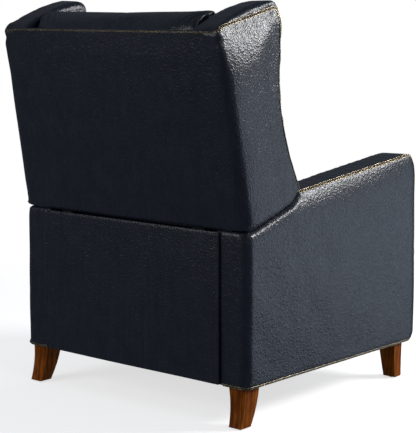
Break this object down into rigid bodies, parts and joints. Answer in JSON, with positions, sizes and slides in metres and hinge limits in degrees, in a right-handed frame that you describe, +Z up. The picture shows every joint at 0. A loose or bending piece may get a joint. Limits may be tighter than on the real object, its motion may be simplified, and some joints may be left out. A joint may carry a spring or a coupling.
{
  "type": "push-back reclining wing armchair",
  "caption": "High-back wing armchair with sloping nail-trimmed arms, tapered wooden feet, a push-back reclining back and a fold-out footrest.",
  "frame": {"origin": "centre of the overall box, on the floor under the feet", "axes": "+Z up; the sitter faces -Y; +X is the sitter's left"},
  "size_m": [0.78, 0.8445, 1.0559],
  "materials": {
    "cover_leather": "semi-gloss pebbled grain",
    "lining_leather": "semi-gloss pebbled grain",
    "cushion_leather": "semi-gloss pebbled grain, soft creases",
    "nail_trim": "antiqued",
    "stained_wood": "dark stain, satin lacquer",
    "frame_timber": "raw sawn",
    "zinc_steel": "zinc plated",
    "black_steel": "satin black",
    "spring_wire": "oiled",
    "webbing": "woven",
    "deck_cloth": "non-woven"
  },
  "bodies": {
    "base": {"arm_cover_left": "cover_leather", "arm_cover_right": "cover_leather", "arm_lining_left": "lining_leather", "arm_lining_right": "lining_leather", "arm_frame_left": "frame_timber", "arm_frame_right": "frame_timber", "arm_trim_left": "nail_trim", "arm_trim_right": "nail_trim", "front_cross_rail": "frame_timber", "rear_cross_rail": "frame_timber", "rear_flap": "cover_leather", "flap_board": "frame_timber", "front_leg_left": "stained_wood", "front_leg_right": "stained_wood", "rear_leg_left": "stained_wood", "rear_leg_right": "stained_wood", "leg_plates": "black_steel", "hanger_bolts": "zinc_steel", "foot_glides": "black_steel", "mechanism_plate_left": "black_steel", "mechanism_plate_right": "black_steel", "base_cross_tube": "black_steel", "plate_bolts": "zinc_steel", "base_pivot_pins": "zinc_steel"},
    "front_swing": {"front_swing_links": "zinc_steel", "swing_torque_tube": "black_steel", "front_upper_pins": "zinc_steel"},
    "rear_swing": {"rear_swing_links": "zinc_steel", "rear_upper_pins": "zinc_steel"},
    "seat": {"seat_rail_left": "black_steel", "seat_rail_right": "black_steel", "seat_side_rails": "frame_timber", "seat_cross_rails": "frame_timber", "seat_springs": "spring_wire", "spring_clips": "black_steel", "seat_deck": "deck_cloth", "seat_cushion": "cushion_leather", "back_hinge_pins": "zinc_steel", "footrest_root_pins": "zinc_steel"},
    "back": {"back_stiles": "frame_timber", "back_rails": "frame_timber", "back_webbing": "webbing", "back_bracket_left": "black_steel", "back_bracket_right": "black_steel", "outside_back": "cover_leather", "back_cushion": "cushion_leather", "wing_cover_left": "cover_leather", "wing_cover_right": "cover_leather", "wing_lining_left": "lining_leather", "wing_lining_right": "lining_leather", "wing_frames": "frame_timber", "wing_trim_left": "nail_trim", "wing_trim_right": "nail_trim", "back_top_trim": "nail_trim"},
    "footrest_rear_link": {"footrest_rear_links": "zinc_steel", "footrest_torsion_tube": "black_steel"},
    "footrest_front_link": {"footrest_front_links": "zinc_steel"},
    "footrest": {"footrest_brackets": "black_steel", "footrest_board": "frame_timber", "footrest_pad": "cushion_leather"}
  },
  "joints": [
    {"name": "front_swing", "type": "hinge", "parent": "base", "child": "front_swing", "pos_m": [0, -0.15081, 0.15], "axis": [1, 0, 0], "range_deg": [0, 55.2]},
    {"name": "rear_swing", "type": "hinge", "parent": "base", "child": "rear_swing", "pos_m": [0, 0.09919, 0.15], "axis": [1, 0, 0], "range_deg": [0, 55.2]},
    {"name": "seat_level", "type": "hinge", "parent": "front_swing", "child": "seat", "pos_m": [0, -0.03449, 0.23145], "axis": [1, 0, 0], "range_deg": [-55.2, 0]},
    {"name": "back_recline", "type": "hinge", "parent": "seat", "child": "back", "pos_m": [0, 0.28419, 0.365], "axis": [-1, 0, 0], "range_deg": [0, 30]},
    {"name": "footrest_extend", "type": "hinge", "parent": "seat", "child": "footrest_rear_link", "pos_m": [0, -0.25081, 0.29], "axis": [-1, 0, 0], "range_deg": [0, 80]},
    {"name": "footrest_fold", "type": "hinge", "parent": "footrest_rear_link", "child": "footrest_front_link", "pos_m": [0, -0.29352, 0.13062], "axis": [1, 0, 0], "range_deg": [0, 145.2]},
    {"name": "footrest_tilt", "type": "hinge", "parent": "footrest_front_link", "child": "footrest", "pos_m": [0, -0.33622, 0.29], "axis": [-1, 0, 0], "range_deg": [0, 155.2]}
  ],
  "couplings": [
    {"joint": "front_swing", "follows": "back_recline", "ratio": 1.8333},
    {"joint": "rear_swing", "follows": "back_recline", "ratio": 1.8333},
    {"joint": "seat_level", "follows": "back_recline", "ratio": -1.8333},
    {"joint": "footrest_fold", "follows": "footrest_extend", "ratio": 1.8125},
    {"joint": "footrest_tilt", "follows": "footrest_extend", "ratio": 1.9375}
  ]
}
